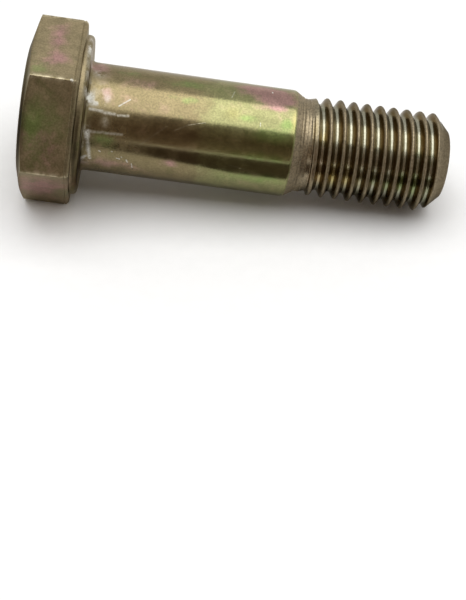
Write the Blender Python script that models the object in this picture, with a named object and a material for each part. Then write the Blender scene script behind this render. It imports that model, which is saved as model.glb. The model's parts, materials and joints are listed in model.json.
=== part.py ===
"""Hex bolt with a plain shank and a smaller rolled thread, lying on the ground.

The bolt is one forged piece of steel. It is modelled upright on its own axis: the bearing plane
under the head is z = 0, the head stands above that plane and the shank hangs below it. A parent
empty then lays it down along +X, so that it rests on one flat of the head and on its thread.
Lengths are in metres and angles in radians.
"""

import math

import bmesh
import bpy

MM = 0.001

# Head: a hexagon with a chamfered outer side and a round-edged washer face under it
HEX_SIDES = 6
ACROSS_FLATS = 12.5 * MM
HEAD_HEIGHT = 4.7 * MM
HEAD_TOP_INSET = 1.3 * MM
HEAD_CHAMFER_ANGLE = math.radians(15)
BEARING_EDGE_ROUND = 0.34 * MM
WASHER_FACE_HEIGHT = 0.54 * MM
WASHER_FACE_INSET = 0.12 * MM
WASHER_EDGE_ROUND = 0.42 * MM

# Shank: plain and thicker than the thread, with a fillet at the head and a cone at its end
LENGTH_UNDER_HEAD = 28.1 * MM
SHANK_DIAMETER = 8.3 * MM
SHANK_LENGTH = 15.8 * MM
SHANK_FILLET = 0.4 * MM
STEP_ANGLE = math.radians(30)

# Thread: right-handed with 60 degree flanks, rolled on a blank that shows as a short neck
THREAD_DIAMETER = 7.75 * MM
THREAD_PITCH = 25.4 * MM / 24
FLANK_ANGLE = math.radians(60)
CREST_FLAT = THREAD_PITCH / 8
ROOT_FLAT = THREAD_PITCH / 4
NECK_BELOW_CREST = 0.25 * MM
NECK_LENGTH = 0.35 * MM
RUN_IN_LENGTH = 0.95 * MM
THREAD_START_ANGLE = math.radians(-20)
TIP_CHAMFER = 1.22 * MM
TIP_CHAMFER_ANGLE = math.radians(45)

# Facets round a full turn, and how far shapes that are joined reach into each other
SEGMENTS = 30
FILLET_STEPS = 4
ROUND_STEPS = 3
OVERLAP = 0.3 * MM
MERGE_DISTANCE = 0.001 * MM
SHARP_ANGLE = math.radians(25)

# Sizes that follow from those above
HEX_INRADIUS = ACROSS_FLATS / 2
HEX_CIRCUMRADIUS = HEX_INRADIUS / math.cos(math.pi / HEX_SIDES)
HEAD_TOP_RADIUS = HEX_INRADIUS - HEAD_TOP_INSET
WASHER_FACE_RADIUS = HEX_INRADIUS - WASHER_FACE_INSET
SHANK_RADIUS = SHANK_DIAMETER / 2
CREST_RADIUS = THREAD_DIAMETER / 2
NECK_RADIUS = CREST_RADIUS - NECK_BELOW_CREST
THREAD_DEPTH = (THREAD_PITCH - CREST_FLAT - ROOT_FLAT) / 2 * math.tan(FLANK_ANGLE)
ROOT_RADIUS = CREST_RADIUS - THREAD_DEPTH
NECK_START = SHANK_LENGTH + (SHANK_RADIUS - NECK_RADIUS) / math.tan(STEP_ANGLE)
RUN_IN_START = NECK_START + NECK_LENGTH
RUN_IN_END = RUN_IN_START + RUN_IN_LENGTH
TIP_RADIUS = CREST_RADIUS - TIP_CHAMFER * math.tan(TIP_CHAMFER_ANGLE)
FLAT_LENGTH_START = WASHER_FACE_HEIGHT + BEARING_EDGE_ROUND

STEEL_COLOUR = (0.40, 0.32, 0.15, 1.0)
STEEL_ROUGHNESS = 0.32


def clear_scene():
    """Remove every object that the open file holds."""
    for thing in list(bpy.data.objects):
        bpy.data.objects.remove(thing, do_unlink=True)


def add_object(name, mesh):
    """Put a mesh in the scene as a named object."""
    thing = bpy.data.objects.new(name, mesh)
    bpy.context.scene.collection.objects.link(thing)
    return thing


def combine(thing, tool, operation):
    """Join a tool shape to an object, or cut the object with it."""
    step = thing.modifiers.new(operation.lower() + "_" + tool.name, "BOOLEAN")
    step.object = tool
    step.operation = operation
    step.solver = "EXACT"


def apply_steps(thing):
    """Turn an object's modelling steps into its own mesh, smooth except at its real edges."""
    finished = thing.evaluated_get(bpy.context.evaluated_depsgraph_get())
    thing.data = bpy.data.meshes.new_from_object(finished)
    thing.modifiers.clear()
    thing.data.shade_smooth()
    thing.data.set_sharp_from_angle(angle=SHARP_ANGLE)


def turned(name, profile):
    """Turn a (radius, height) outline, listed from top to bottom, about the bolt's axis."""
    mesh = bpy.data.meshes.new(name)
    points = [(radius, 0.0, height) for radius, height in profile]
    edges = [(i, i + 1) for i in range(len(points) - 1)]
    mesh.from_pydata(points, edges, [])
    thing = add_object(name, mesh)
    screw = thing.modifiers.new("turn", "SCREW")
    screw.axis = "Z"
    screw.angle = math.tau
    screw.steps = SEGMENTS
    screw.render_steps = SEGMENTS
    screw.use_merge_vertices = True
    screw.merge_threshold = MERGE_DISTANCE
    return thing


def washer_edge():
    """Quarter round between the washer face's rim and its flat, as (radius, height) points."""
    arc = []
    for step in range(ROUND_STEPS + 1):
        turn = math.pi / 2 * step / ROUND_STEPS
        radius = WASHER_FACE_RADIUS - WASHER_EDGE_ROUND * (1 - math.cos(turn))
        height = WASHER_EDGE_ROUND * (1 - math.sin(turn))
        arc.append((radius, height))
    return arc


def fillet_arc():
    """Quarter round between the washer face and the shank, as (radius, height) points."""
    arc = []
    for step in range(FILLET_STEPS + 1):
        turn = math.pi / 2 * step / FILLET_STEPS
        radius = SHANK_RADIUS + SHANK_FILLET * (1 - math.sin(turn))
        height = -SHANK_FILLET * (1 - math.cos(turn))
        arc.append((radius, height))
    return arc


def shank():
    """Washer face, fillet, plain shank, step-down cone and neck, turned in one piece."""
    top = [
        (0.0, WASHER_FACE_HEIGHT + OVERLAP),
        (WASHER_FACE_RADIUS, WASHER_FACE_HEIGHT + OVERLAP),
    ]
    bottom = [
        (SHANK_RADIUS, -SHANK_LENGTH),
        (NECK_RADIUS, -NECK_START),
        (NECK_RADIUS, -RUN_IN_START),
        (ROOT_RADIUS - OVERLAP, -RUN_IN_END),
        (0.0, -RUN_IN_END),
    ]
    return turned("hex_bolt", top + washer_edge() + fillet_arc() + bottom)


def head_blank():
    """Hexagonal prism with a rounded edge on its bearing side, left long at the outer side."""
    length = HEAD_HEIGHT + OVERLAP - WASHER_FACE_HEIGHT
    shape = bmesh.new()
    bmesh.ops.create_cone(
        shape,
        cap_ends=True,
        segments=HEX_SIDES,
        radius1=HEX_CIRCUMRADIUS,
        radius2=HEX_CIRCUMRADIUS,
        depth=length,
    )
    bmesh.ops.translate(shape, verts=shape.verts, vec=(0.0, 0.0, WASHER_FACE_HEIGHT + length / 2))
    underside = min(shape.faces, key=lambda face: face.calc_center_median().z)
    bmesh.ops.bevel(
        shape,
        geom=list(underside.edges),
        offset=BEARING_EDGE_ROUND,
        segments=ROUND_STEPS,
        affect="EDGES",
    )
    mesh = bpy.data.meshes.new("head_blank")
    shape.to_mesh(mesh)
    shape.free()
    return add_object("head_blank", mesh)


def head_chamfer():
    """Turned shape that trims the hexagon's outer corners and faces its top."""
    outer_radius = HEX_CIRCUMRADIUS + OVERLAP
    drop = (outer_radius - HEAD_TOP_RADIUS) * math.tan(HEAD_CHAMFER_ANGLE)
    profile = [
        (0.0, HEAD_HEIGHT),
        (HEAD_TOP_RADIUS, HEAD_HEIGHT),
        (outer_radius, HEAD_HEIGHT - drop),
        (outer_radius, -OVERLAP),
        (0.0, -OVERLAP),
    ]
    return turned("head_chamfer", profile)


def thread_core():
    """Plain rod at the thread's root, from inside the shank to past the tip."""
    profile = [
        (0.0, -SHANK_LENGTH),
        (ROOT_RADIUS, -SHANK_LENGTH),
        (ROOT_RADIUS, -LENGTH_UNDER_HEAD - OVERLAP),
        (0.0, -LENGTH_UNDER_HEAD - OVERLAP),
    ]
    return turned("thread_core", profile)


def thread_ridge():
    """One tooth of the thread carried along a right-handed helix, from past the tip upward."""
    base_half = (THREAD_PITCH - ROOT_FLAT) / 2
    crest_half = CREST_FLAT / 2
    tooth = [
        (ROOT_RADIUS - OVERLAP, -base_half),
        (ROOT_RADIUS, -base_half),
        (CREST_RADIUS, -crest_half),
        (CREST_RADIUS, crest_half),
        (ROOT_RADIUS, base_half),
        (ROOT_RADIUS - OVERLAP, base_half),
    ]
    start = -LENGTH_UNDER_HEAD - THREAD_PITCH
    turns = math.ceil((LENGTH_UNDER_HEAD - RUN_IN_START) / THREAD_PITCH) + 1
    forward = math.cos(THREAD_START_ANGLE)
    sideways = math.sin(THREAD_START_ANGLE)
    shape = bmesh.new()
    corners = [
        shape.verts.new((radius * forward, radius * sideways, start + height))
        for radius, height in tooth
    ]
    section = shape.faces.new(corners)
    bmesh.ops.spin(
        shape,
        geom=[section, *section.edges, *section.verts],
        cent=(0.0, 0.0, 0.0),
        axis=(0.0, 0.0, 1.0),
        dvec=(0.0, 0.0, THREAD_PITCH / SEGMENTS),
        angle=math.tau * turns,
        steps=SEGMENTS * turns,
    )
    bmesh.ops.recalc_face_normals(shape, faces=shape.faces)
    mesh = bpy.data.meshes.new("thread_ridge")
    shape.to_mesh(mesh)
    shape.free()
    return add_object("thread_ridge", mesh)


def thread_envelope():
    """Turned shape that fades the thread in at the neck and chamfers it at the tip."""
    outer_radius = CREST_RADIUS + OVERLAP
    run_in_slope = (CREST_RADIUS - NECK_RADIUS) / RUN_IN_LENGTH
    run_in_top = RUN_IN_START - (NECK_RADIUS - ROOT_RADIUS + OVERLAP) / run_in_slope
    run_in_outer = RUN_IN_END + OVERLAP / run_in_slope
    chamfer_outer = LENGTH_UNDER_HEAD - (outer_radius - TIP_RADIUS) / math.tan(TIP_CHAMFER_ANGLE)
    profile = [
        (0.0, -run_in_top),
        (ROOT_RADIUS - OVERLAP, -run_in_top),
        (outer_radius, -run_in_outer),
        (outer_radius, -chamfer_outer),
        (TIP_RADIUS, -LENGTH_UNDER_HEAD),
        (0.0, -LENGTH_UNDER_HEAD),
    ]
    return turned("thread_envelope", profile)


def thread():
    """Root rod and helical tooth in one, faded in at the neck and chamfered at the tip."""
    rod = thread_core()
    combine(rod, thread_ridge(), "UNION")
    combine(rod, thread_envelope(), "INTERSECT")
    return rod


def head():
    """Hexagon with its outer corners chamfered."""
    block = head_blank()
    combine(block, head_chamfer(), "INTERSECT")
    return block


def plated_steel():
    """Yellow-passivated zinc plate on steel."""
    finish = bpy.data.materials.new("yellow_zinc_plate")
    finish.use_nodes = True
    shader = finish.node_tree.nodes["Principled BSDF"]
    shader.inputs["Base Color"].default_value = STEEL_COLOUR
    shader.inputs["Roughness"].default_value = STEEL_ROUGHNESS
    shader.inputs["Metallic"].default_value = 1.0
    return finish


def lying_frame():
    """Empty that lays the bolt down, with the middle of its outline over the origin.

    The bearing-side end of the lower flat and the thread at the start of the tip's chamfer both
    touch the ground. The head is the larger, so the axis falls toward the tip.
    """
    span = LENGTH_UNDER_HEAD - TIP_CHAMFER + FLAT_LENGTH_START
    tilt = math.atan2(HEX_INRADIUS - CREST_RADIUS, span)
    axis_height = HEX_INRADIUS * math.cos(tilt) - FLAT_LENGTH_START * math.sin(tilt)
    head_end = -HEAD_HEIGHT * math.cos(tilt) - HEAD_TOP_RADIUS * math.sin(tilt)
    tip_end = LENGTH_UNDER_HEAD * math.cos(tilt) + TIP_RADIUS * math.sin(tilt)
    frame = bpy.data.objects.new("bolt_frame", None)
    frame.location = (-(head_end + tip_end) / 2, 0.0, axis_height)
    frame.rotation_euler = (0.0, tilt - math.pi / 2, 0.0)
    bpy.context.scene.collection.objects.link(frame)
    return frame


def build_bolt():
    """The whole bolt as one solid, laid on the ground."""
    bolt = shank()
    combine(bolt, head(), "UNION")
    combine(bolt, thread(), "UNION")
    apply_steps(bolt)
    for thing in list(bpy.data.objects):
        if thing != bolt:
            bpy.data.objects.remove(thing, do_unlink=True)
    bolt.data.materials.clear()
    bolt.data.materials.append(plated_steel())
    bolt.parent = lying_frame()


clear_scene()
build_bolt()
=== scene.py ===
"""Looks of the hex bolt: its plated skin, the ground it lies on, the light and the view."""

import json
import math

import bpy
import numpy as np
from mathutils import Matrix, Vector


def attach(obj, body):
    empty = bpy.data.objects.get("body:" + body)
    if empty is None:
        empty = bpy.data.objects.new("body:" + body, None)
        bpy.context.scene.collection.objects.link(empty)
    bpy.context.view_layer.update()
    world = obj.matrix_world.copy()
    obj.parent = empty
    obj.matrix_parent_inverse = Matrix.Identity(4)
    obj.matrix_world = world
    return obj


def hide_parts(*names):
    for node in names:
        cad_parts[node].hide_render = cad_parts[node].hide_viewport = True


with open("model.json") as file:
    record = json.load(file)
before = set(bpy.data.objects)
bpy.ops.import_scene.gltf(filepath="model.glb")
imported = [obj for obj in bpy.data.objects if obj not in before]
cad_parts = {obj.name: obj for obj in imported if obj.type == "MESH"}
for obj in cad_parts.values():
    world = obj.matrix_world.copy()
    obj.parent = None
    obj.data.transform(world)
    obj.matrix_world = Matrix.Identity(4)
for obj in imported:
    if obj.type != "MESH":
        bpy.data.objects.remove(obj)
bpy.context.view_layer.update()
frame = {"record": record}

MM = 0.001

# Sizes of the bolt, in metres, measured from the bearing plane under its head
HEAD_TOP_INSET = 1.3 * MM
CROWN_ANGLE = math.radians(15)
CROWN_OVERRUN = 0.1 * MM
BEARING_EDGE_ROUND = 0.34 * MM
CREASE_DEPTH = 0.06 * MM
CREASE_WIDTH = 0.045 * MM
CREASE_REACH = 0.12 * MM
WASHER_FACE_HEIGHT = 0.54 * MM
WASHER_FACE_INSET = 0.12 * MM
WASHER_EDGE_ROUND = 0.42 * MM
SHANK_RADIUS = 4.15 * MM
SHANK_LENGTH = 15.8 * MM
SHANK_FILLET = 0.4 * MM
SHANK_END_ROUND = 0.15 * MM
STEP_ANGLE = math.radians(30)
CREST_RADIUS = 3.875 * MM
THREAD_PITCH = 25.4 * MM / 24
FLANK_SLOPE = math.tan(math.radians(60))
CREST_HALF_WIDTH = THREAD_PITCH / 16
THREAD_DEPTH = 5 / 16 * THREAD_PITCH * FLANK_SLOPE
CREST_ROUND = 0.05 * MM
ROOT_ROUND = 0.08 * MM
NECK_BELOW_CREST = 0.25 * MM
NECK_LENGTH = 0.35 * MM
NECK_FOOT_ROUND = 0.08 * MM
NECK_GROOVES = np.array([16.40, 16.64, 16.92]) * MM
NECK_GROOVE_WIDTH = 0.045 * MM
NECK_GROOVE_DEPTH = 0.04 * MM
RUN_IN_LENGTH = 0.95 * MM
THREAD_START_ANGLE = math.radians(-20)
TIP_CHAMFER = 1.22 * MM
CHAMFER_MARGIN = 0.02 * MM
HEX_SIDES = 6
CORNER_SHARPNESS = 400.0
CROWN_SHARPNESS = 300.0
LEAST_FACING = 0.001

# Grid over the skin: columns round the axis, crowded at the hexagon's corners, and rows along it
COLUMNS_PER_SIDE = 36
CORNER_CROWDING = 1.6
TOP_ROWS = 10
CROWN_ROWS = 40
FLAT_ROWS = 10
CREASE_ROWS = 13
EDGE_ROWS = 7
UNDER_ROWS = 12
BEND_ROWS = 8
ROWS_PER_PITCH = 20
END_ROWS = 7
LONGEST_ROW = 0.3 * MM
RIM_ROW = LONGEST_ROW / 5
WASHER_ROW = LONGEST_ROW / 3
NECK_ROW = LONGEST_ROW / 8
MICRON = MM * MM

# A radius that lies outside the whole bolt, where a row has no circle or no hexagon
FAR = 1.0

# Roughness of each stretch, and where one passes into the next
DULL_HEAD = 0.42
DULL_WASHER = 0.4
DULL_SHANK_BY_HEAD = 0.28
DULL_SHANK = 0.18
DULL_CONE = 0.5
DULL_NECK = 0.38
DULL_THREAD = 0.2
DULL_CREST = 0.42
DULL_BLEND = 0.1 * MM
WASHER_DULL_END = 0.5 * MM
SHANK_DULL_MIDDLE = 4.0 * MM
SHANK_DULL_BLEND = 2.5 * MM
DULL_PATCHES = (-0.05, 0.07)
DULL_CHALK = 0.3

# Colours of the passivated film, of worn zinc and of white residue. The darker flank film is
# painted shade, the gold film is partly painted highlight, and the white also paints a highlight and
# a glint
FILM_TAN = (0.205, 0.166, 0.088, 1)
FILM_STRAW = (0.230, 0.225, 0.105, 1)
FILM_HEAD = (0.250, 0.203, 0.118, 1)
FILM_ROSE = (0.330, 0.200, 0.175, 1)
FILM_GREEN = (0.205, 0.265, 0.092, 1)
FILM_CREST = (0.245, 0.200, 0.130, 1)
FILM_FLANK_SHADE = (0.155, 0.110, 0.048, 1)
FILM_ROOT = (0.345, 0.335, 0.255, 1)
FILM_GOLD_HIGHLIGHT = (0.520, 0.400, 0.110, 1)
BARE_ZINC = (0.75, 0.68, 0.48, 1)
CHALK_AND_HIGHLIGHT = (0.80, 0.80, 0.74, 1)
EDGE_TINT = (0.78, 0.75, 0.70)
STRAW_START = 6.0 * MM
STRAW_END = 12.0 * MM
CORNER_WEAR_WIDTH = 0.16 * MM

# Where the thread's crest film and its flank film, which is painted shade, fade in and out, as
# shares of its depth
CREST_FADE = (0.55, 0.95)
FLANK_FADE_IN = (0.05, 0.3)
FLANK_FADE_OUT = (0.75, 0.95)

# Noise in the film: its patches to the metre, its fineness, and its stretch along and round the skin
DRIFT_SCALE = 260.0
MOTTLE_SCALE = 1100.0
GRAIN_SCALE = 7000.0
NOISE_DETAIL = 3.0
GRAIN_DETAIL = 2.0
ROUGH_NOISE = 0.6
STREAK_STRETCH = (9.0, 0.9, 1.0)

# How the noise and the spots carry over to tints, marks and relief: ranges of a value that fade
# something in, and strengths
WANDER_STRAW = 0.8
STRAW_FADE = (0.2, 0.8)
ROSE_FADE = (0.08, 0.85)
GREEN_FADE = (0.1, 0.9)
MOTTLE_RANGE = (0.2, 0.8)
GRAIN_RANGE = (0.3, 0.7)
PATCH_SHADES = (0.86, 1.14)
SPECKLE = 0.14
SPECKLE_CREST = 0.28
WEAR_FADE = (0.4, 0.62)
WEAR_STRENGTH = 0.55
MARK_FADE = (0.3, 0.65)
MARK_SHADES = (0.4, 1.0)
CRUST_FADE = (0.4, 0.6)
CRUST_GRAIN = (0.3, 0.6)
CRUST_SHADES = (0.5, 1.0)
CHALK_COVER = 0.75
BUMP_HEIGHT = 0.02 * MM
BUMP_STRENGTH = 0.35
GRAIN_RELIEF = 0.2
HEAD_GRAIN_RELIEF = 0.8
STREAK_RELIEF = 0.15
CHALK_RELIEF = 0.8

# Tinted spots on the unrolled skin: millimetres from the bearing plane, degrees round from the
# upper flat, half length, half width in degrees, and strength. The shade spots are painted shade,
# and a shade below zero is painted light
ROSE_SPOTS = (
    (-2.4, -18, 0.5, 7, 0.6),
    (-2.6, -5, 0.5, 7, 0.65),
    (-2.3, 12, 0.7, 6, 0.85),
    (-3.1, 18, 0.6, 4, 0.5),
    (-2.6, 75, 0.9, 11, 0.55),
    (-2.5, 113, 2.3, 22, 0.85),
    (0.7, -14, 0.9, 14, 0.7),
    (1.4, 22, 0.5, 13, 0.45),
    (4.0, 4, 2.0, 8, 0.3),
    (13.2, -14, 2.3, 13, 1.1),
    (14.5, 1, 1.3, 8, 1.0),
    (14.2, 13, 1.1, 4, 0.6),
    (6.8, 90, 0.7, 6, 0.6),
    (2.2, 103, 1.7, 8, 0.5),
    (17.0, 20, 0.3, 50, 0.7),
    (17.6, 85, 0.8, 30, 0.5),
)
GREEN_SPOTS = (
    (-3.85, 24, 0.7, 5, 0.5),
    (-3.1, -14, 0.4, 6, 0.35),
    (-2.7, 56, 1.8, 24, 0.45),
    (-3.7, 66, 0.6, 14, 0.5),
    (7.5, 17, 1.0, 5, 0.5),
    (12.0, 29, 0.7, 5, 0.75),
    (15.1, 29, 0.6, 7, 0.9),
    (8.0, -5, 2.6, 10, 0.45),
    (3.0, -10, 1.0, 9, 0.35),
    (14.2, 45, 1.8, 8, 0.9),
    (13.5, 67, 2.6, 5, 0.5),
    (1.5, 72, 0.9, 8, 0.5),
    (13.5, 95, 2.4, 9, 0.7),
    (24.5, 88, 3.0, 22, 0.55),
    (26.0, 40, 1.5, 25, 0.3),
)
RESIDUE_AND_HIGHLIGHT_SPOTS = (
    (0.2, 30, 0.24, 6, 1.7),
    (0.10, 18, 0.2, 5, 0.6),
    (0.8, 35, 0.45, 2.5, 0.8),
    (1.1, 20, 0.6, 11, 0.1),
    (1.5, 28, 0.15, 4, 0.4),
    (0.3, 66, 0.22, 6, 0.8),
    (0.38, 82, 0.22, 8, 0.8),
    (0.42, 97, 0.25, 7, 0.8),
    (1.6, 53, 0.25, 6, 0.3),
    (0.6, -2, 0.5, 5, 0.4),
    # Painted highlight: white on the top of the washer face's rim, where a grazing highlight falls
    (-0.12, -10, 0.16, 15, 0.9),
)
# Painted shade on the head's crown, bevel and washer rim, the tip's chamfer and the thread's crests
# and underside; painted light, below zero, on the shank and the cone
PAINTED_SHADE_SPOTS = (
    (-4.55, 45, 0.3, 400, 0.5),
    (-4.4, 66, 0.35, 36, 0.3),
    (-0.72, 64, 0.16, 28, 0.4),
    (-0.36, 76, 0.15, 40, 0.7),
    (0.1, 95, 0.25, 25, 0.5),
    (-0.15, 102, 0.22, 18, 0.4),
    (3.0, 51, 2.0, 9, -0.3),
    (3.0, 77, 2.2, 5, -0.3),
    (16.2, 27, 0.5, 10, -0.5),
    (16.2, -24, 0.5, 14, -0.35),
    (27.8, 0, 0.7, 400, 0.35),
    (22.5, -30, 5.5, 26, 0.32),
    (22.5, 118, 5.5, 16, 0.45),
)
# Gold spots lie where highlights fall, on the shank's end edge, the thread roots and the shank's
# bright band, so their bright gold film is partly tint and partly painted highlight
GOLD_HIGHLIGHT_SPOTS = (
    (15.7, 27, 0.09, 14, 0.2),
    (17.3, 30, 0.2, 14, 0.8),
    (19.5, 88, 1.8, 18, 0.65),
    (18.3, 36, 0.2, 10, 0.6),
    (11.0, 26, 0.5, 7, 0.12),
)

# Scratches and specks on the unrolled skin, in millimetres along and round the shank: start, end,
# width and strength. The first is a painted glint at the end of the head's upper corner line
SCRATCHES_AND_GLINT = (
    # Painted glint: a white dot at the end of the head's upper corner line
    ((-1.12, 2.16), (-1.02, 2.17), 0.1, 0.9),
    ((2.48, 2.53), (3.25, 1.91), 0.08, 0.65),
    ((0.40, 3.03), (1.30, 3.09), 0.20, 0.5),
    ((1.45, 3.15), (2.25, 3.20), 0.20, 0.5),
    ((2.50, 3.24), (3.25, 3.17), 0.16, 0.55),
    ((0.25, 4.71), (1.60, 4.63), 0.20, 0.35),
    ((1.75, 4.66), (2.94, 4.60), 0.17, 0.4),
    ((0.42, 4.63), (0.50, 5.58), 0.20, 0.5),
    ((0.50, 5.58), (0.62, 6.37), 0.24, 0.6),
    ((0.62, 6.37), (0.75, 7.10), 0.20, 0.5),
    ((1.40, 6.20), (1.48, 6.26), 0.08, 0.9),
    ((2.33, 6.10), (2.38, 6.13), 0.06, 0.8),
    ((2.75, 6.70), (3.00, 6.76), 0.07, 0.9),
    ((3.10, 6.52), (3.15, 6.58), 0.06, 0.8),
    ((3.50, 6.75), (3.60, 7.00), 0.08, 0.9),
    ((4.40, 5.20), (6.20, 3.52), 0.04, 0.16),
    ((6.75, 3.80), (7.75, 3.24), 0.04, 0.16),
    ((7.75, 3.24), (9.00, 2.89), 0.05, 0.27),
    ((10.80, 0.45), (11.00, -0.25), 0.06, 0.3),
    ((13.90, -0.95), (13.91, -0.82), 0.09, 0.9),
    ((13.13, 2.33), (13.14, 2.58), 0.05, 0.6),
    ((11.25, 5.90), (12.50, 6.14), 0.04, 0.2),
    ((3.92, 7.09), (4.02, 7.60), 0.07, 0.6),
)

# The bolt's own frame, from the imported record's mounts
MOUNTS = {mount["name"]: mount for mount in frame["record"]["mounts"]}


def mount_place(name):
    """Where a mount is, as an array."""
    return np.array(MOUNTS[name]["pos_m"])


AXIS = np.array(MOUNTS["tip_end"]["axis"])
UP = np.array(MOUNTS["wrench_flat"]["axis"])
SIDE = np.cross(AXIS, UP)
HEAD_HEIGHT = (mount_place("bearing_face") - mount_place("head_top")) @ AXIS
SEAT = mount_place("head_top") + HEAD_HEIGHT * AXIS
LENGTH = (mount_place("tip_end") - SEAT) @ AXIS
HEX_INRADIUS = (mount_place("wrench_flat") - mount_place("head_top")) @ UP

HEX_CIRCUMRADIUS = HEX_INRADIUS / math.cos(math.pi / HEX_SIDES)
HEAD_TOP_RADIUS = HEX_INRADIUS - HEAD_TOP_INSET
WASHER_RADIUS = HEX_INRADIUS - WASHER_FACE_INSET
NECK_RADIUS = CREST_RADIUS - NECK_BELOW_CREST
ROOT_RADIUS = CREST_RADIUS - THREAD_DEPTH
NECK_START = SHANK_LENGTH + (SHANK_RADIUS - NECK_RADIUS) / math.tan(STEP_ANGLE)
RUN_IN_START = NECK_START + NECK_LENGTH
RUN_IN_END = RUN_IN_START + RUN_IN_LENGTH
TIP_RADIUS = CREST_RADIUS - TIP_CHAMFER


def column_angles():
    """Angles round the axis from UP towards SIDE, starting on the hidden lower side.

    In each sixth, a corner sits in the middle and the offset from it grows as a power of the
    column's distance, so that columns crowd at the corner.
    """
    sixth = math.tau / HEX_SIDES
    steps = np.arange(COLUMNS_PER_SIDE) / (COLUMNS_PER_SIDE / 2) - 1
    offsets = np.sign(steps) * np.abs(steps) ** CORNER_CROWDING * sixth / 2
    corners = (np.arange(HEX_SIDES) + 0.5) * sixth + math.pi
    return (corners[:, None] + offsets[None, :]).ravel()


def head_rows():
    """Rows (along, round radius, hexagon inradius) from the middle of the head to the washer face.

    The round radius grows across the top face and then down the crown, a straight cone. The hexagon
    keeps its inradius along the flats. It dips in a bell-shaped crease where they end, and then
    turns in round the bearing-side edge on a quarter round. At the underside the round radius
    shrinks to the washer face.
    """
    top = np.linspace(0, HEAD_TOP_RADIUS, TOP_ROWS)
    crown = np.linspace(HEAD_TOP_RADIUS, HEX_CIRCUMRADIUS + CROWN_OVERRUN, CROWN_ROWS)[1:]
    crown_along = -HEAD_HEIGHT + (crown - HEAD_TOP_RADIUS) * math.tan(CROWN_ANGLE)
    flat_end = -WASHER_FACE_HEIGHT - BEARING_EDGE_ROUND
    crease = np.linspace(flat_end - CREASE_REACH, flat_end + CREASE_REACH, CREASE_ROWS)
    spacing = np.cos(np.linspace(0, math.pi / 2, FLAT_ROWS)[1:-1])
    flat = crease[0] + (crown_along[-1] - crease[0]) * spacing
    turn = np.linspace(math.asin(CREASE_REACH / BEARING_EDGE_ROUND), math.pi / 2, EDGE_ROWS)[1:]
    edge = np.concatenate([flat, crease, flat_end + BEARING_EDGE_ROUND * np.sin(turn)])
    past = np.clip((edge - flat_end) / BEARING_EDGE_ROUND, 0, 1)
    dip = CREASE_DEPTH * np.exp(-(((edge - flat_end) / CREASE_WIDTH) ** 2))
    edge_inradius = HEX_INRADIUS - BEARING_EDGE_ROUND * (1 - np.sqrt(1 - past**2)) - dip
    under = np.linspace(HEX_CIRCUMRADIUS, WASHER_RADIUS, UNDER_ROWS)
    along = [
        np.full_like(top, -HEAD_HEIGHT),
        crown_along,
        edge,
        np.full_like(under, -WASHER_FACE_HEIGHT),
    ]
    radius = [top, crown, np.full_like(edge, FAR), under]
    inradius = [
        np.full(len(top) + len(crown), HEX_INRADIUS),
        edge_inradius,
        np.full_like(under, edge_inradius[-1]),
    ]
    return np.stack([np.concatenate(part) for part in (along, radius, inradius)], 1)


def bend(before, corner, after, size):
    """Points of a smooth bend that starts and ends a set distance either side of a corner.

    The bend is the quadratic curve pulled towards the corner: (1-t)^2 start + 2t(1-t) corner +
    t^2 end.
    """
    start = corner + (before - corner) / np.linalg.norm(before - corner) * size
    end = corner + (after - corner) / np.linalg.norm(after - corner) * size
    share = np.linspace(0, 1, BEND_ROWS)[:, None]
    return (1 - share) ** 2 * start + 2 * share * (1 - share) * corner + share**2 * end


def run(start, end, longest):
    """Points between two others, not the ends themselves, with no step over the longest."""
    count = int(np.ceil(np.linalg.norm(end - start) / longest))
    share = (np.arange(1, count) / count)[:, None]
    return start + share * (end - start)


def shank_rows():
    """Rows (along, round radius) of the washer face, fillet, shank, cone and grooved neck.

    The outline is a broken line with its corners bent, and with evenly spaced points on the
    straight runs between one bend's end and the next one's start. The neck's grooves are bells.
    """
    rim_back, rim, fillet, shoulder, foot, neck_end = np.array([
        (-WASHER_FACE_HEIGHT, WASHER_RADIUS),
        (0.0, WASHER_RADIUS),
        (0.0, SHANK_RADIUS),
        (SHANK_LENGTH, SHANK_RADIUS),
        (NECK_START, NECK_RADIUS),
        (RUN_IN_START, NECK_RADIUS),
    ])
    bends = [
        bend(rim_back, rim, fillet, WASHER_EDGE_ROUND),
        bend(rim, fillet, shoulder, SHANK_FILLET),
        bend(fillet, shoulder, foot, SHANK_END_ROUND),
        bend(shoulder, foot, neck_end, NECK_FOOT_ROUND),
    ]
    rows = np.concatenate([
        run(rim_back, bends[0][0], RIM_ROW),
        bends[0],
        run(bends[0][-1], bends[1][0], WASHER_ROW),
        bends[1],
        run(bends[1][-1], bends[2][0], LONGEST_ROW),
        bends[2],
        run(bends[2][-1], bends[3][0], NECK_ROW),
        bends[3],
        run(bends[3][-1], neck_end, NECK_ROW),
        neck_end[None, :],
    ])
    from_groove = (rows[:, :1] - NECK_GROOVES) / NECK_GROOVE_WIDTH
    rows[:-1, 1] -= NECK_GROOVE_DEPTH * np.exp(-(from_groove[:-1] ** 2)).sum(1)
    return rows


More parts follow.
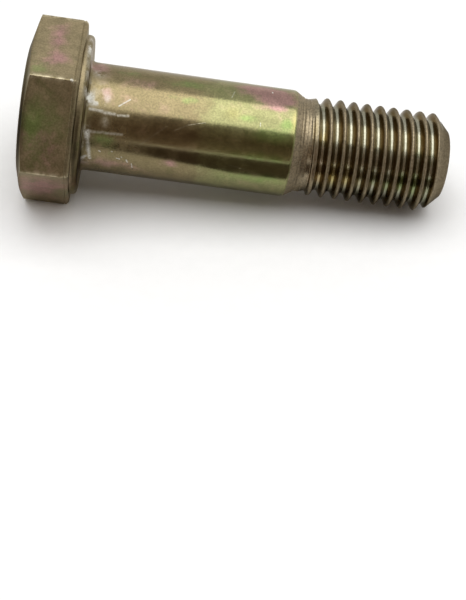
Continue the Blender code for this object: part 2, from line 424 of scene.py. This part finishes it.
def thread_radius(along, angle):
    """Radius of the threaded part at a place along the axis and an angle round it.

    The distance to the nearest crest of the helix gives the height on a straight flank. A soft
    clamp rounds it off at crest and root. The run-in cone and the tip's chamfer then trim it, and
    the core cone fills its start.
    """
    turns = (along - LENGTH) / THREAD_PITCH - (angle + THREAD_START_ANGLE) / math.tau
    from_crest = np.abs(turns - np.round(turns)) * THREAD_PITCH
    flank = CREST_RADIUS + (CREST_HALF_WIDTH - from_crest) * FLANK_SLOPE
    above_root = ROOT_ROUND * np.logaddexp(0, (flank - ROOT_RADIUS) / ROOT_ROUND)
    above_crest = CREST_ROUND * np.logaddexp(0, (flank - CREST_RADIUS) / CREST_ROUND)
    tooth = ROOT_RADIUS + above_root - above_crest
    share = (along - RUN_IN_START) / RUN_IN_LENGTH
    run_in = NECK_RADIUS + share * NECK_BELOW_CREST
    core = NECK_RADIUS - share * (NECK_RADIUS - ROOT_RADIUS)
    chamfer = TIP_RADIUS + LENGTH - along
    return np.minimum(np.maximum(np.minimum(tooth, run_in), core), chamfer)


def ring_points(along, radius, angle):
    """Points at a radius and angle round the bolt's axis, in the row frame."""
    outward = np.cos(angle)[..., None] * UP + np.sin(angle)[..., None] * SIDE
    return SEAT + along[..., None] * AXIS + radius[..., None] * outward


def plain_grid(angles):
    """Head and shank: each row's radius is a soft least of its circle and its hexagon.

    The soft least is a power mean, (a^-p + b^-p)^(-1/p), taken in logarithms. The hexagon's radius
    at an angle is its inradius over the same mean of the cosines to its six flats.
    """
    head = head_rows()
    shank = shank_rows()
    along = np.concatenate([head[:, 0], shank[:, 0]])
    round_radius = np.concatenate([head[:, 1], shank[:, 1]])
    circle = np.log(np.maximum(round_radius, MICRON))
    inradius = np.log(np.concatenate([head[:, 2], np.full(len(shank), FAR)]))
    flats = np.arange(HEX_SIDES) * math.tau / HEX_SIDES
    facing = np.maximum(np.cos(angles[:, None] - flats), LEAST_FACING)
    reach = np.logaddexp.reduce(CORNER_SHARPNESS * np.log(facing), axis=1) / CORNER_SHARPNESS
    hexagon = inradius[:, None] - reach[None, :]
    least = np.logaddexp(-CROWN_SHARPNESS * circle[:, None], -CROWN_SHARPNESS * hexagon)
    radius = np.where(round_radius[:, None] > 0, np.exp(-least / CROWN_SHARPNESS), 0)
    return np.repeat(along[:, None], len(angles), 1), radius


def grid_faces(rows, columns, shift=0):
    """Triangles of a closed grid. The last column joins the first, shifted by a number of rows."""
    row = np.arange(rows - 1 - shift)[:, None]
    column = np.arange(columns)[None, :]
    wrap = column + 1 == columns
    next_column = np.where(wrap, 0, column + 1)
    lift = np.where(wrap, shift, 0)
    here = row * columns + column
    below = here + columns
    beside = (row + lift) * columns + next_column
    beyond = beside + columns
    return np.concatenate([
        np.stack([here, beyond, below], -1).reshape(-1, 3),
        np.stack([here, beside, beyond], -1).reshape(-1, 3),
    ])


def bolt_skin():
    """The whole bolt as one closed skin, with each point's place along and round the axis.

    Head and shank are a plain grid. Thread rows lean by one pitch a turn, so that each follows the
    helix, and are clamped at the neck and at the tip, where they close onto plain rings. Points
    that meet are merged.
    """
    angles = column_angles()
    columns = len(angles)
    along, radius = plain_grid(angles)
    angle = np.repeat(angles[None, :], len(along), 0)
    faces = [grid_faces(len(along), columns)]
    step = THREAD_PITCH / ROWS_PER_PITCH
    lean = (angles - angles[0]) / math.tau * THREAD_PITCH
    count = int(round((LENGTH - RUN_IN_START) / step)) + 2 * ROWS_PER_PITCH + 1
    leaning = RUN_IN_START - THREAD_PITCH + np.arange(count)[:, None] * step + lean
    leaning = np.clip(leaning, RUN_IN_START, LENGTH)
    thread_angle = np.repeat(angles[None, :], count, 0)
    faces.append(grid_faces(count, columns, ROWS_PER_PITCH) + along.size)
    end_radius = np.linspace(TIP_RADIUS, 0, END_ROWS)
    end_along = np.full((len(end_radius), columns), LENGTH)
    end_angle = np.repeat(angles[None, :], len(end_radius), 0)
    faces.append(grid_faces(len(end_radius), columns) + along.size + leaning.size)
    thread = thread_radius(leaning, thread_angle)
    end = np.repeat(end_radius[:, None], columns, 1)
    along = np.concatenate([along.ravel(), leaning.ravel(), end_along.ravel()])
    angle = np.concatenate([angle.ravel(), thread_angle.ravel(), end_angle.ravel()])
    radius = np.concatenate([radius.ravel(), thread.ravel(), end.ravel()])
    points = ring_points(along, radius, angle)
    place = np.round(points / MICRON).astype(np.int64)
    kept, merged = np.unique(place, axis=0, return_index=True, return_inverse=True)[1:]
    faces = merged.ravel()[np.concatenate(faces)]
    whole = (faces != np.roll(faces, 1, axis=1)).all(1)
    return points[kept], faces[whole], along[kept], angle[kept], radius[kept]


def add_piece(name, points, faces):
    """A mesh object of whole arrays, at the origin."""
    mesh = bpy.data.meshes.new(name)
    mesh.from_pydata(points.tolist(), [], faces.tolist())
    mesh.shade_smooth()
    mesh.validate()
    piece = bpy.data.objects.new(name, mesh)
    bpy.context.scene.collection.objects.link(piece)
    return piece


def add_attribute(piece, name, values):
    """One number for each point, which the material reads."""
    attribute = piece.data.attributes.new(name, "FLOAT", "POINT")
    attribute.data.foreach_set("value", np.asarray(values, np.float32))


def soft_spots(spots, along, angle):
    """Sum of soft spots on the unrolled skin.

    Each spot is strength * exp(-(distance along / length)^2 - (turn from its middle / width)^2).
    """
    middle, turned, length, width, strength = np.array(spots).T
    from_middle = (along[:, None] / MM - middle) / length
    turn = np.degrees(angle)[:, None] - turned
    from_turned = (np.mod(turn + 180, 360) - 180) / width
    return (strength * np.exp(-(from_middle**2) - from_turned**2)).sum(1)


def between(low, high, value):
    """0 below low, 1 above high and a smooth step, 3t^2 - 2t^3, between them."""
    share = np.clip((value - low) / (high - low), 0, 1)
    return share**2 * (3 - 2 * share)


def corner_wear(along, angle):
    """1 on the hexagon's corner lines, falling off as a bell, and 0 away from the head's flats."""
    sixth = math.tau / HEX_SIDES
    from_corner = np.mod(angle, sixth) - sixth / 2
    corner = np.exp(-((from_corner * HEX_CIRCUMRADIUS / CORNER_WEAR_WIDTH) ** 2))
    crown_end = -HEAD_HEIGHT + (HEX_CIRCUMRADIUS - HEAD_TOP_RADIUS) * math.tan(CROWN_ANGLE)
    on_flats = between(crown_end - 2 * CORNER_WEAR_WIDTH, crown_end, along)
    return np.where(along < -WASHER_FACE_HEIGHT, corner * on_flats, 0)


def on_chamfer(along, radius):
    """True on the tip's chamfer and end face."""
    cone = radius > LENGTH + TIP_RADIUS - along - CHAMFER_MARGIN
    return (cone & (along > LENGTH - TIP_CHAMFER)) | (along >= LENGTH)


def thread_crest(along, radius):
    """0 at the thread's root and 1 on its crests, and 0 away from the thread."""
    height = (radius - ROOT_RADIUS) / (CREST_RADIUS - ROOT_RADIUS)
    return between(*CREST_FADE, height) * between(RUN_IN_START, RUN_IN_END, along)


def tan_film(along, radius):
    """1 where the film is a dull tan: on the cone and neck, the thread's crests and the chamfer."""
    step = between(SHANK_LENGTH, SHANK_LENGTH + SHANK_END_ROUND, along)
    blank = step * (1 - between(RUN_IN_START, RUN_IN_END, along))
    return np.where(on_chamfer(along, radius), 1, np.maximum(blank, thread_crest(along, radius)))


def thread_flank_shade(along, radius):
    """1 on the thread's flanks, which are painted darker as shading, 0 at its root and on its
    crests, and 0 away from the thread.
    """
    height = (radius - ROOT_RADIUS) / (CREST_RADIUS - ROOT_RADIUS)
    slope = between(*FLANK_FADE_IN, height) * (1 - between(*FLANK_FADE_OUT, height))
    before_tip = 1 - between(LENGTH - TIP_CHAMFER, LENGTH, along)
    return slope * between(RUN_IN_START, RUN_IN_END, along) * before_tip


def dullness(along, radius):
    """Roughness of each stretch of the bolt, blended where one stretch passes into the next."""
    stretches = (
        (-WASHER_FACE_HEIGHT, DULL_BLEND, DULL_HEAD, DULL_WASHER),
        (WASHER_DULL_END, DULL_BLEND, DULL_WASHER, DULL_SHANK_BY_HEAD),
        (SHANK_DULL_MIDDLE, SHANK_DULL_BLEND, DULL_SHANK_BY_HEAD, DULL_SHANK),
        (SHANK_LENGTH, DULL_BLEND, DULL_SHANK, DULL_CONE),
        (NECK_START, DULL_BLEND, DULL_CONE, DULL_NECK),
        (RUN_IN_START, DULL_BLEND, DULL_NECK, DULL_THREAD),
    )
    dull = np.full_like(along, DULL_HEAD)
    for place, blend, before, after in stretches:
        dull += (after - before) * between(place - blend, place + blend, along)
    dull += (DULL_CREST - DULL_THREAD) * thread_crest(along, radius)
    return np.where(on_chamfer(along, radius), DULL_CREST, dull)


def build_bolt():
    """The bolt's skin, riding on the frame in place of its solid."""
    points, faces, along, angle, radius = bolt_skin()
    bolt = add_piece("bolt", points, faces)
    add_attribute(bolt, "along", along / MM)
    add_attribute(bolt, "around", (angle - math.tau) * SHANK_RADIUS / MM)
    add_attribute(bolt, "rose", soft_spots(ROSE_SPOTS, along, angle))
    add_attribute(bolt, "green", soft_spots(GREEN_SPOTS, along, angle))
    # Partly tint and partly painted highlight: gold film where highlights fall
    add_attribute(bolt, "gold_highlight", soft_spots(GOLD_HIGHLIGHT_SPOTS, along, angle))
    add_attribute(bolt, "straw", between(STRAW_START, STRAW_END, along))
    # White deposit, and one painted highlight on the washer face's rim
    add_attribute(bolt, "residue_and_highlight", soft_spots(RESIDUE_AND_HIGHLIGHT_SPOTS, along, angle))
    # Painted shade, and painted light where it is below zero
    add_attribute(bolt, "painted_shade", soft_spots(PAINTED_SHADE_SPOTS, along, angle))
    add_attribute(bolt, "wear", corner_wear(along, angle))
    add_attribute(bolt, "crest", tan_film(along, radius))
    # Painted shade: a darker film on the thread's flanks
    add_attribute(bolt, "flank", thread_flank_shade(along, radius))
    add_attribute(bolt, "thread", between(SHANK_LENGTH, RUN_IN_END, along))
    add_attribute(bolt, "dull", dullness(along, radius))
    add_attribute(bolt, "head", 1 - between(-WASHER_FACE_HEIGHT, 0.0, along))
    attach(bolt, "root")
    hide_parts("hex_bolt")
    return bolt


class Recipe:
    """A material's nodes, written as steps that each give back their output."""

    def __init__(self, tree):
        self.tree = tree
        self.tree.nodes.clear()

    def step(self, kind, inputs, output=0, **settings):
        """One node with its settings, its inputs set or linked, and one of its outputs."""
        node = self.tree.nodes.new(kind)
        for name, setting in settings.items():
            setattr(node, name, setting)
        for name, value in inputs.items():
            socket = node.inputs[name]
            if isinstance(value, bpy.types.NodeSocket):
                self.tree.links.new(value, socket)
            else:
                socket.default_value = value
        return node.outputs[output]

    def attribute(self, name):
        """A number stored on the piece's points."""
        return self.step("ShaderNodeAttribute", {}, "Fac", attribute_name=name)

    def place(self):
        """Where a point is in the piece's own frame."""
        return self.step("ShaderNodeTexCoord", {}, "Object")

    def math(self, operation, first, second):
        """A sum on two numbers."""
        return self.step("ShaderNodeMath", {0: first, 1: second}, operation=operation)

    def vector(self, operation, first, second, output=0):
        """A sum on two vectors."""
        return self.step("ShaderNodeVectorMath", {0: first, 1: second}, output, operation=operation)

    def noise(self, place, scale, detail, roughness=0.5):
        """Soft random patches, with so many to the metre."""
        inputs = {"Vector": place, "Scale": scale, "Detail": detail, "Roughness": roughness}
        return self.step("ShaderNodeTexNoise", inputs, "Fac")

    def spread(self, value, low, high, to_low=0.0, to_high=1.0):
        """Carries low to high onto another range, with a smooth step and no overshoot."""
        inputs = {
            "Value": value,
            "From Min": low,
            "From Max": high,
            "To Min": to_low,
            "To Max": to_high,
        }
        return self.step("ShaderNodeMapRange", inputs, interpolation_type="SMOOTHSTEP")

    def spread_even(self, value, low, high):
        """Carries low to high evenly onto 0 to 1."""
        return self.step("ShaderNodeMapRange", {"Value": value, "From Min": low, "From Max": high})

    def blend(self, share, first, second):
        """Mixes one colour into another."""
        return self.step("ShaderNodeMix", {0: share, 6: first, 7: second}, 2, data_type="RGBA")

    def scale(self, colour, factor):
        """A colour made lighter or darker by a number."""
        inputs = {0: colour, "Scale": factor}
        return self.step("ShaderNodeVectorMath", inputs, operation="SCALE")

    def finish(self, kind, surface):
        """Ends the recipe at its output."""
        output = self.tree.nodes.new(kind)
        self.tree.links.new(surface, output.inputs["Surface"])


def scratch_mask(recipe, sheet, start, end, width, strength):
    """A strength on a line between two places on the unrolled skin, and 0 away from it.

    The foot of the point on the line is clamped to the line's ends, and the mask is a smooth step
    of the distance to that foot.
    """
    start, end = Vector((*start, 0)), Vector((*end, 0))
    reach = end - start
    offset = recipe.vector("SUBTRACT", sheet, start)
    travel = recipe.vector("DOT_PRODUCT", offset, reach / reach.length_squared, "Value")
    share = recipe.step("ShaderNodeClamp", {"Value": travel})
    foot = recipe.step("ShaderNodeVectorMath", {0: reach, "Scale": share}, operation="SCALE")
    distance = recipe.vector("DISTANCE", offset, foot, "Value")
    return recipe.spread(distance, 0.0, width, strength, 0.0)


def film_colour(recipe, drift, mottle, grain, light):
    """Colour of the passivated film: tan to straw along the shank, with tints laid over it.

    Large patches drift the tints, and soft spots stored on the skin place the strongest. The
    thread's flanks take a darker film as painted shading, and golden spots are partly painted
    highlight. Fine specks and patches, then painted shading and painted light from spots, darken or
    lighten it, and corners are worn to bare zinc.
    """
    wander = recipe.math("SUBTRACT", recipe.math("ADD", drift, mottle), 1.0)
    straw = recipe.math("MULTIPLY", wander, WANDER_STRAW)
    straw = recipe.math("ADD", recipe.attribute("straw"), straw)
    film = recipe.blend(recipe.spread(straw, *STRAW_FADE), FILM_TAN, FILM_STRAW)
    film = recipe.blend(recipe.attribute("head"), film, FILM_HEAD)
    film = recipe.blend(recipe.attribute("thread"), film, FILM_ROOT)
    rose = recipe.math("ADD", recipe.attribute("rose"), wander)
    film = recipe.blend(recipe.spread(rose, *ROSE_FADE), film, FILM_ROSE)
    green = recipe.math("SUBTRACT", recipe.attribute("green"), wander)
    film = recipe.blend(recipe.spread(green, *GREEN_FADE), film, FILM_GREEN)
    # Partly tint and partly painted highlight: bright gold film where highlights fall
    film = recipe.blend(recipe.attribute("gold_highlight"), film, FILM_GOLD_HIGHLIGHT)
    # Painted shade: the thread's flanks take a darker brown film
    film = recipe.blend(recipe.attribute("flank"), film, FILM_FLANK_SHADE)
    film = recipe.blend(recipe.attribute("crest"), film, FILM_CREST)
    speckle = recipe.spread(recipe.attribute("crest"), 0.0, 1.0, SPECKLE, SPECKLE_CREST)
    specks = recipe.math("MULTIPLY", recipe.spread(grain, *GRAIN_RANGE, -1.0, 1.0), speckle)
    patches = recipe.spread(mottle, *MOTTLE_RANGE, *PATCH_SHADES)
    shades = recipe.math("MULTIPLY", recipe.math("ADD", specks, 1.0), patches)
    film = recipe.scale(recipe.scale(film, shades), light)
    worn = recipe.math("MULTIPLY", recipe.attribute("wear"), recipe.spread(mottle, *WEAR_FADE))
    return recipe.blend(recipe.math("MULTIPLY", worn, WEAR_STRENGTH), film, BARE_ZINC)


def chalk_and_highlight_marks(recipe, sheet, mottle, grain):
    """How much white shows: scratches and specks on the unrolled skin, one of them a painted glint,
    and white deposit in patches, one spot of it a painted highlight on the washer face's rim.
    """
    marks = None
    for start, end, width, strength in SCRATCHES_AND_GLINT:
        mask = scratch_mask(recipe, sheet, start, end, width, strength)
        marks = mask if marks is None else recipe.math("MAXIMUM", marks, mask)
    marks = recipe.math("MULTIPLY", marks, recipe.spread(grain, *MARK_FADE, *MARK_SHADES))
    crust_and_highlight = recipe.math("MULTIPLY", recipe.attribute("residue_and_highlight"), recipe.spread(mottle, *CRUST_FADE))
    crust_and_highlight = recipe.math("MULTIPLY", crust_and_highlight, recipe.spread(grain, *CRUST_GRAIN, *CRUST_SHADES))
    return recipe.math("MINIMUM", recipe.math("ADD", marks, crust_and_highlight), 1.0)


def plated_steel():
    """Yellow-passivated zinc plate: a thin tinted film on metal, with chalky marks over it.

    The film's colour carries painted shading, painted light and partly painted highlights, and the
    chalky marks hold one painted highlight and one painted glint.
    """
    finish = bpy.data.materials.new("yellow_zinc_plate")
    finish.use_nodes = True
    recipe = Recipe(finish.node_tree)
    place = recipe.place()
    drift = recipe.noise(place, DRIFT_SCALE, NOISE_DETAIL)
    mottle = recipe.noise(place, MOTTLE_SCALE, NOISE_DETAIL, ROUGH_NOISE)
    grain = recipe.noise(place, GRAIN_SCALE, GRAIN_DETAIL, ROUGH_NOISE)
    unrolled = {"X": recipe.attribute("along"), "Y": recipe.attribute("around")}
    sheet = recipe.step("ShaderNodeCombineXYZ", unrolled)
    stretched = recipe.vector("MULTIPLY", sheet, STREAK_STRETCH)
    streaks = recipe.noise(stretched, 1.0, NOISE_DETAIL, ROUGH_NOISE)
    # Painted light: 1 less the painted shade spots, which darken the film, or lighten it below zero
    light = recipe.math("SUBTRACT", 1.0, recipe.attribute("painted_shade"))
    chalk_and_highlight = chalk_and_highlight_marks(recipe, sheet, mottle, grain)
    film = recipe.blend(chalk_and_highlight, film_colour(recipe, drift, mottle, grain, light), CHALK_AND_HIGHLIGHT)

    patches = recipe.spread(mottle, *MOTTLE_RANGE, *DULL_PATCHES)
    dull = recipe.math("ADD", recipe.attribute("dull"), patches)
    dull = recipe.math("ADD", dull, recipe.math("MULTIPLY", chalk_and_highlight, DULL_CHALK))
    metal = recipe.math("SUBTRACT", 1.0, recipe.math("MULTIPLY", chalk_and_highlight, CHALK_COVER))
    relief = recipe.math("MULTIPLY", recipe.attribute("head"), HEAD_GRAIN_RELIEF)
    relief = recipe.math("ADD", relief, GRAIN_RELIEF)
    height = recipe.math("MULTIPLY", grain, relief)
    height = recipe.math("ADD", height, recipe.math("MULTIPLY", streaks, STREAK_RELIEF))
    height = recipe.math("ADD", height, recipe.math("MULTIPLY", chalk_and_highlight, CHALK_RELIEF))
    bump = recipe.step("ShaderNodeBump", {
        "Height": height,
        "Distance": BUMP_HEIGHT,
        "Strength": BUMP_STRENGTH,
    })
    shader = recipe.step("ShaderNodeBsdfPrincipled", {
        "Base Color": film,
        "Metallic": metal,
        "Roughness": dull,
        # The painted shade also darkens the metal's tint at grazing angles
        "Specular Tint": recipe.scale(EDGE_TINT, recipe.math("MINIMUM", light, 1.0)),
        "Normal": bump,
    })
    recipe.finish("ShaderNodeOutputMaterial", shader)
    return finish


# View: distances in metres and angles in radians, with the focal length for a 36 mm tall picture
CAMERA_AIM = (0.65 * MM, -12.55 * MM, 0.0)
CAMERA_AZIMUTH = math.radians(-1.93)
CAMERA_ELEVATION = math.radians(47.72)
CAMERA_ROLL = math.radians(5.35)
CAMERA_DISTANCE = 102.3 * MM
CAMERA_LENS = 82.3
CAMERA_SENSOR = 36.0


def place_camera():
    """A camera on a sphere round its aim, rolled about its line of sight."""
    level = math.cos(CAMERA_ELEVATION)
    toward = Vector((
        -math.sin(CAMERA_AZIMUTH) * level,
        math.cos(CAMERA_AZIMUTH) * level,
        -math.sin(CAMERA_ELEVATION),
    ))
    right = toward.cross(Vector((0, 0, 1))).normalized()
    above = right.cross(toward)
    tilted_right = math.cos(CAMERA_ROLL) * right + math.sin(CAMERA_ROLL) * above
    tilted_above = tilted_right.cross(toward)
    lens = bpy.data.cameras.new("view")
    lens.lens = CAMERA_LENS
    lens.sensor_width = CAMERA_SENSOR
    lens.sensor_height = CAMERA_SENSOR
    lens.clip_start = MM
    camera = bpy.data.objects.new("view", lens)
    turn = Matrix((tilted_right, tilted_above, -toward)).transposed().to_4x4()
    camera.matrix_world = Matrix.Translation(Vector(CAMERA_AIM) - CAMERA_DISTANCE * toward) @ turn
    bpy.context.scene.collection.objects.link(camera)
    bpy.context.scene.camera = camera


# Floor: half its side in metres, the shades of its matt card, and the card's tooth
FLOOR_REACH = 6.0
FLOOR_SHADES = ((0.945, 0.945, 0.94, 1), (0.96, 0.96, 0.955, 1))
TOOTH_SCALE = 900.0
TOOTH_FADE = (0.3, 0.7)
TOOTH_HEIGHT = 0.01 * MM
TOOTH_STRENGTH = 0.1


def add_ground():
    """A wide pale floor of matt card, with a faint tooth."""
    corners = FLOOR_REACH * np.array([(-1, -1, 0), (1, -1, 0), (1, 1, 0), (-1, 1, 0)])
    ground = add_piece("ground", corners, np.array([(0, 1, 2), (0, 2, 3)]))
    paint = bpy.data.materials.new("pale_floor")
    paint.use_nodes = True
    recipe = Recipe(paint.node_tree)
    tooth = recipe.noise(recipe.place(), TOOTH_SCALE, NOISE_DETAIL)
    card = recipe.blend(recipe.spread(tooth, *TOOTH_FADE), *FLOOR_SHADES)
    bump = recipe.step("ShaderNodeBump", {
        "Height": tooth,
        "Distance": TOOTH_HEIGHT,
        "Strength": TOOTH_STRENGTH,
    })
    shader = recipe.step("ShaderNodeBsdfDiffuse", {"Color": card, "Normal": bump})
    recipe.finish("ShaderNodeOutputMaterial", shader)
    ground.data.materials.append(paint)


# Light: a softbox overhead in two halves, by its height and the angles at which its edges and its
# middle stand above the horizon on the camera's side, and a room that is pale behind and dark
# behind the camera. Its shades run from the back to the camera's side. It lights the floor by a
# share of what the view and the metal see of it, so that the floor keeps the bolt's shadow
SOFTBOX_HEIGHT = 3.0
SOFTBOX_LENGTH = 4.6
SOFTBOX_EDGES = (math.radians(61.5), math.radians(92), math.radians(119.5))
SOFTBOX_RADIANCES = (2.05, 2.32)
ROOM_SHADES = (
    (0.0, (0.85, 0.85, 0.85, 1)),
    (0.12, (0.90, 0.90, 0.90, 1)),
    (0.23, (1.0, 1.0, 1.0, 1)),
    (0.30, (0.62, 0.62, 0.62, 1)),
    (0.72, (0.62, 0.62, 0.62, 1)),
    (0.76, (0.40, 0.35, 0.30, 1)),
    (0.86, (0.25, 0.195, 0.15, 1)),
    (0.93, (0.16, 0.11, 0.08, 1)),
    (1.0, (0.26, 0.20, 0.155, 1)),
)
HORIZON_BAND = 0.28
HORIZON_LIFT = 1.4
ROOM_FILL = 0.6
RAYS_SHOWN = ("Camera", "Glossy", "Transmission")
CARD_SHADES = ((0.08, 0.06, 0.045, 1), (0.13, 0.10, 0.075, 1))
CARD_LIFT = 0.05 * MM
CARD_CORNERS = np.array([
    (-24.0, -90.0),
    (30.0, -90.0),
    (30.0, -8.5),
    (0.0, -9.0),
    (-24.0, -27.0),
]) * MM


def add_card():
    """A dark card on the floor before the bolt, which only its reflections show."""
    corners = np.column_stack([CARD_CORNERS, np.full(len(CARD_CORNERS), CARD_LIFT)])
    card = add_piece("dark_card", corners, np.array([(0, 1, 2), (0, 2, 3), (0, 3, 4)]))
    card.visible_camera = False
    card.visible_diffuse = False
    card.visible_shadow = False
    paint = bpy.data.materials.new("dark_card")
    paint.use_nodes = True
    recipe = Recipe(paint.node_tree)
    tooth = recipe.noise(recipe.place(), TOOTH_SCALE, NOISE_DETAIL)
    tone = recipe.blend(tooth, *CARD_SHADES)
    shader = recipe.step("ShaderNodeBsdfDiffuse", {"Color": tone})
    recipe.finish("ShaderNodeOutputMaterial", shader)
    card.data.materials.append(paint)


def add_light():
    """The softbox overhead and the room round it."""
    edges = [-SOFTBOX_HEIGHT / math.tan(edge) for edge in SOFTBOX_EDGES]
    for near, far, radiance in zip(edges, edges[1:], SOFTBOX_RADIANCES):
        lamp = bpy.data.lights.new("softbox", "AREA")
        lamp.shape = "RECTANGLE"
        lamp.size = SOFTBOX_LENGTH
        lamp.size_y = far - near
        lamp.energy = radiance * math.pi * lamp.size * lamp.size_y
        softbox = bpy.data.objects.new("softbox", lamp)
        softbox.location = (0, (near + far) / 2, SOFTBOX_HEIGHT)
        bpy.context.scene.collection.objects.link(softbox)
    world = bpy.data.worlds.new("room")
    bpy.context.scene.world = world
    world.use_nodes = True
    recipe = Recipe(world.node_tree)
    heading = recipe.step("ShaderNodeTexCoord", {}, "Generated")
    depth = recipe.step("ShaderNodeSeparateXYZ", {"Vector": heading}, "Y")
    height = recipe.step("ShaderNodeSeparateXYZ", {"Vector": heading}, "Z")
    haze = recipe.spread(height, 0.0, HORIZON_BAND, HORIZON_LIFT, 1.0)
    rays = [recipe.step("ShaderNodeLightPath", {}, f"Is {kind} Ray") for kind in RAYS_SHOWN]
    seen = recipe.math("MAXIMUM", recipe.math("MAXIMUM", rays[0], rays[1]), rays[2])
    strength = recipe.math("MULTIPLY", haze, recipe.spread(seen, 0.0, 1.0, ROOM_FILL, 1.0))
    wall = recipe.tree.nodes.new("ShaderNodeValToRGB")
    recipe.tree.links.new(recipe.spread_even(depth, 1.0, -1.0), wall.inputs["Fac"])
    while len(wall.color_ramp.elements) < len(ROOM_SHADES):
        wall.color_ramp.elements.new(0.5)
    for element, (position, colour) in zip(wall.color_ramp.elements, ROOM_SHADES):
        element.position = position
        element.color = colour
    shown = {"Color": wall.outputs["Color"], "Strength": strength}
    recipe.finish("ShaderNodeOutputWorld", recipe.step("ShaderNodeBackground", shown))


bolt = build_bolt()
bolt.data.materials.append(plated_steel())
add_ground()
add_card()
add_light()
place_camera()
bpy.context.scene.view_settings.view_transform = "Standard"
